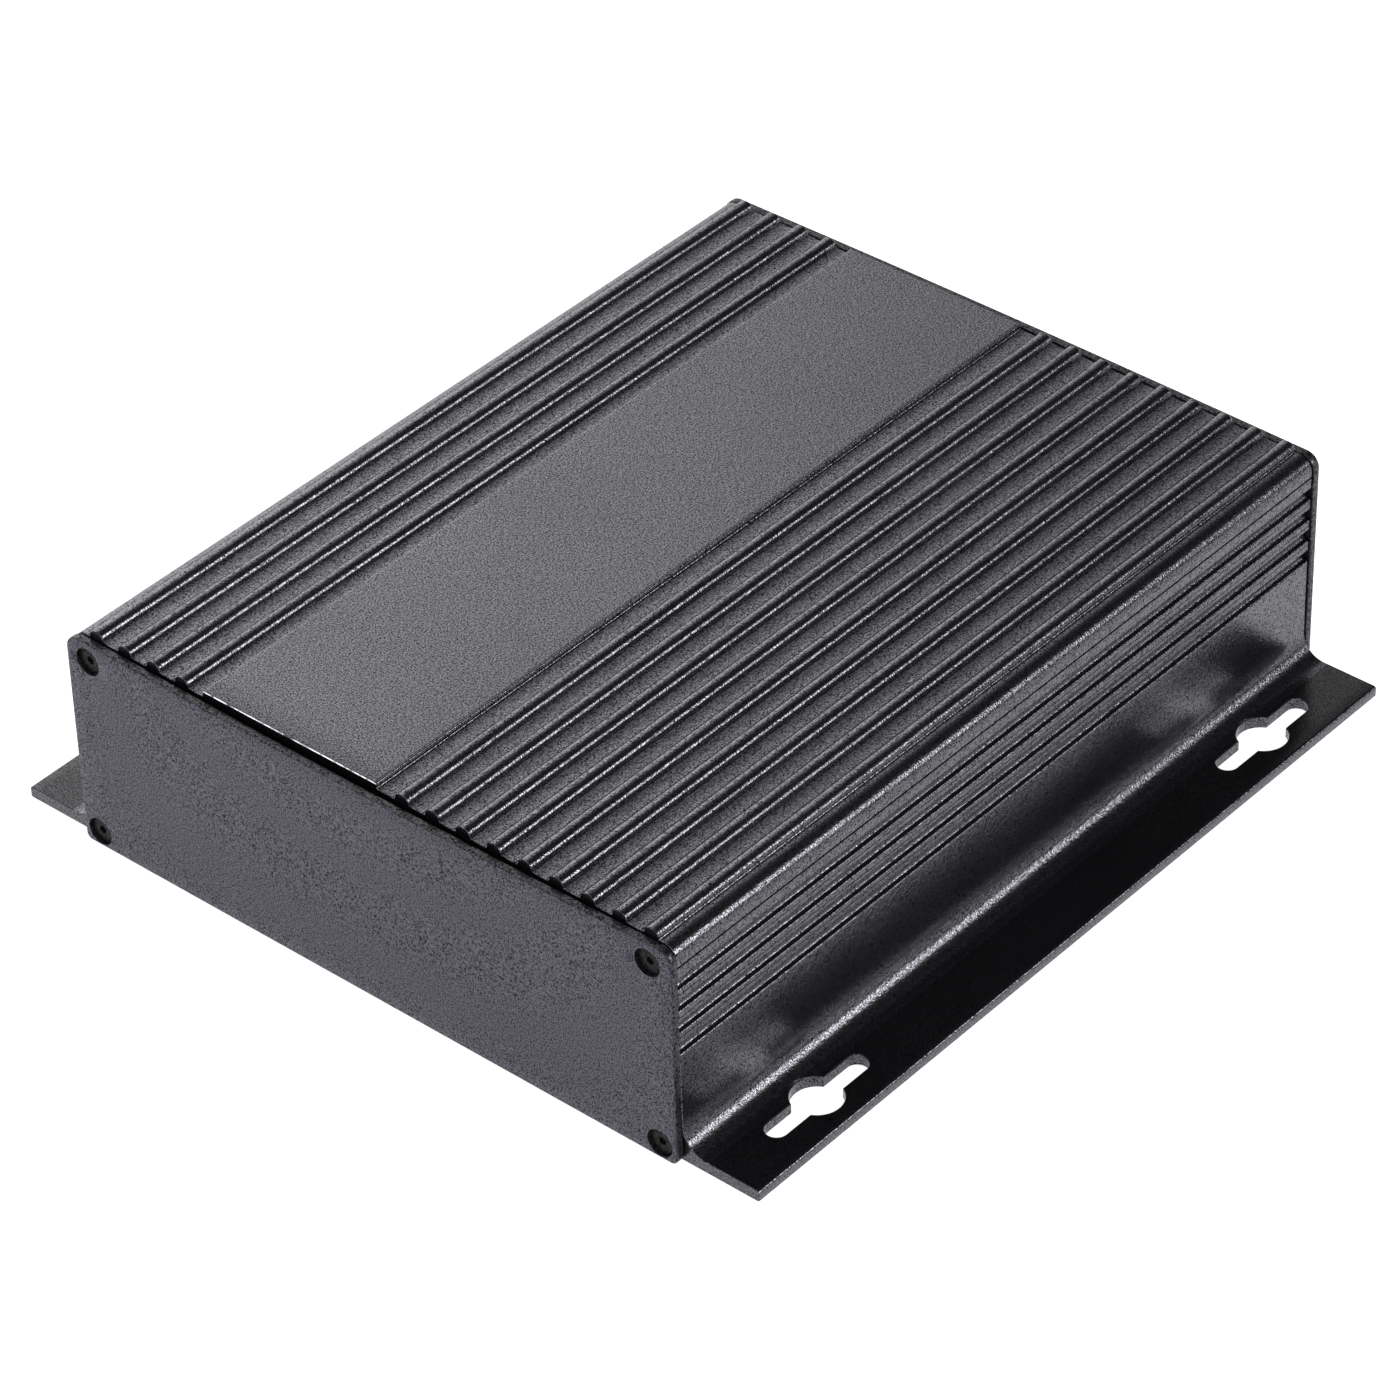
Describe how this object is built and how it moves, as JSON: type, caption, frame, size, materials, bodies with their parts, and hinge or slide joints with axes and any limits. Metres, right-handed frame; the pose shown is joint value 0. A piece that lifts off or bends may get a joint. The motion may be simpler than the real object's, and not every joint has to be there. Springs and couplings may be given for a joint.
{
  "type": "cellular signal booster",
  "caption": "Flat box-shaped cellular signal booster: ribbed, split extruded case on keyhole flanges, screwed end plates, rear antenna jacks, gain knobs, rocker switch and lamps.",
  "frame": {"origin": "centre of the flat underside that rests on the wall or shelf", "axes": "+Z out of the mounting surface, through the ribbed top; +Y along the extrusion towards the connector end plate; -Y towards the blank end plate; +X to the right, the side with more ribs"},
  "size_m": [0.1814, 0.2036, 0.0503],
  "materials": {
    "anodised_extrusion": "sand-blasted and black anodised, satin with a fine glitter on rounded edges",
    "anodised_plate": "brushed then black anodised sheet, satin",
    "black_screw": "black oxide",
    "nickel_plate": "nickel plated, satin",
    "white_insulator": "smooth turned fluoropolymer",
    "zinc_steel": "bright zinc plated",
    "silvered_ceramic": "silver coated, satin",
    "brown_coax": "smooth translucent jacket",
    "pot_body": "stamped and plated",
    "bare_aluminium": "turned, satin",
    "black_knob": "moulded, fine texture",
    "tinned_can": "tinned sheet, satin",
    "chip_epoxy": "moulded epoxy",
    "thermal_pad": "soft silicone, matt",
    "black_moulding": "moulded, fine texture",
    "gloss_rocker": "polished moulding",
    "green_lens": "clear tinted",
    "amber_lens": "clear tinted",
    "board_laminate": "solder mask",
    "ferrite": "pressed powder, matt",
    "capacitor_sleeve": "shrink sleeve",
    "red_lead": "flexible insulation",
    "black_lead": "flexible insulation"
  },
  "bodies": {
    "case": {"base_body": "anodised_extrusion", "top_cover": "anodised_extrusion", "front_plate": "anodised_plate", "rear_plate": "anodised_plate", "plate_screw_front_top_left": "black_screw", "plate_screw_front_top_right": "black_screw", "plate_screw_front_bottom_left": "black_screw", "plate_screw_front_bottom_right": "black_screw", "plate_screw_rear_top_left": "black_screw", "plate_screw_rear_top_right": "black_screw", "plate_screw_rear_bottom_left": "black_screw", "plate_screw_rear_bottom_right": "black_screw", "outdoor_antenna_jack": "nickel_plate", "outdoor_jack_insulator": "white_insulator", "outdoor_jack_washer": "zinc_steel", "outdoor_jack_nut": "zinc_steel", "outdoor_duplexer": "silvered_ceramic", "outdoor_coax_lead": "brown_coax", "indoor_antenna_jack": "nickel_plate", "indoor_jack_insulator": "white_insulator", "indoor_jack_washer": "zinc_steel", "indoor_jack_nut": "zinc_steel", "indoor_duplexer": "silvered_ceramic", "indoor_coax_lead": "brown_coax", "uplink_gain_pot": "pot_body", "uplink_pot_nut": "zinc_steel", "uplink_heat_spreader": "bare_aluminium", "uplink_shield_can": "tinned_can", "uplink_power_amplifier": "chip_epoxy", "uplink_driver_amplifier": "chip_epoxy", "uplink_thermal_pad": "thermal_pad", "downlink_gain_pot": "pot_body", "downlink_pot_nut": "zinc_steel", "downlink_heat_spreader": "bare_aluminium", "downlink_shield_can": "tinned_can", "downlink_power_amplifier": "chip_epoxy", "downlink_driver_amplifier": "chip_epoxy", "downlink_thermal_pad": "thermal_pad", "dc_power_jack": "black_moulding", "power_switch_housing": "black_moulding", "dc_jack_nut": "zinc_steel", "power_switch_pin": "zinc_steel", "power_status_lens": "green_lens", "downlink_status_lens": "green_lens", "uplink_status_lens": "amber_lens", "main_circuit_board": "board_laminate", "indicator_board": "board_laminate", "control_processor": "chip_epoxy", "voltage_regulator": "chip_epoxy", "power_inductor": "ferrite", "input_capacitor": "capacitor_sleeve", "output_capacitor": "capacitor_sleeve", "positive_power_lead": "red_lead", "switched_power_lead": "red_lead", "negative_power_lead": "black_lead"},
    "power_switch_rocker": {"power_switch_rocker": "gloss_rocker"},
    "uplink_gain_control": {"uplink_gain_knob": "black_knob", "uplink_pot_shaft": "bare_aluminium"},
    "downlink_gain_control": {"downlink_gain_knob": "black_knob", "downlink_pot_shaft": "bare_aluminium"}
  },
  "joints": [
    {"name": "power_switch_rock", "type": "hinge", "parent": "case", "child": "power_switch_rocker", "pos_m": [-0.008, 0.093, 0.02], "axis": [0, 0, 1], "range_deg": [0, 22]},
    {"name": "uplink_gain_turn", "type": "hinge", "parent": "case", "child": "uplink_gain_control", "pos_m": [-0.0305, 0.095, 0.02], "axis": [0, -1, 0], "range_deg": [0, 300]},
    {"name": "downlink_gain_turn", "type": "hinge", "parent": "case", "child": "downlink_gain_control", "pos_m": [0.0305, 0.095, 0.02], "axis": [0, -1, 0], "range_deg": [0, 300]}
  ]
}
